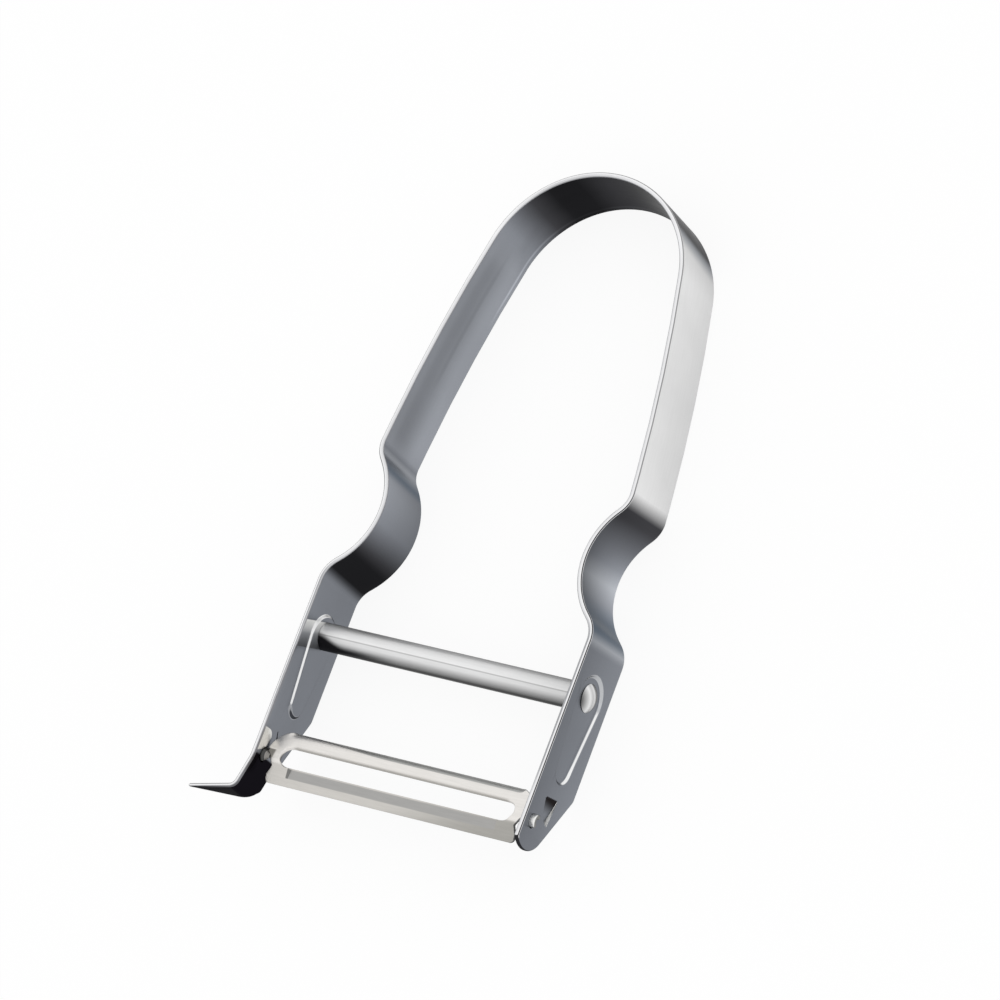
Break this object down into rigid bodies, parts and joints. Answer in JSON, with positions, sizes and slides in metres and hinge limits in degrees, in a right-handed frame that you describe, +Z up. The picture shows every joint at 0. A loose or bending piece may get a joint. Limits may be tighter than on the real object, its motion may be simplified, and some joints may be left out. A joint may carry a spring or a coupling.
{
  "type": "vegetable peeler",
  "caption": "All-steel vegetable peeler: a bent strip bow with finger waists and a pointed eye remover, a round crossbar and a slotted blade that swivels between its legs.",
  "frame": {"origin": "middle of the bounding box on the plane of the strip's lower edges, on which the peeler lies", "axes": "+X across from the eye remover to the plain leg, +Y from the blade to the crown of the bow, +Z up through the strip's width"},
  "size_m": [0.058, 0.1101, 0.0125],
  "materials": {
    "strip_steel": "polished stainless strip with a soft satin grain, rounded sheared edges",
    "bar_steel": "polished drawn rod",
    "rivet_steel": "bright domed head",
    "blade_steel": "smooth rolled sheet with a matt ground bevel at the cutting edge"
  },
  "bodies": {
    "frame": {"frame": "strip_steel", "crossbar": "bar_steel", "rivet_right": "rivet_steel", "rivet_left": "rivet_steel"},
    "blade": {"blade": "blade_steel"}
  },
  "joints": [
    {"name": "blade_swivel", "type": "hinge", "parent": "frame", "child": "blade", "pos_m": [0.00373, -0.04694, 0.0099], "axis": [1, 0, 0], "range_deg": [-40, 40]}
  ]
}
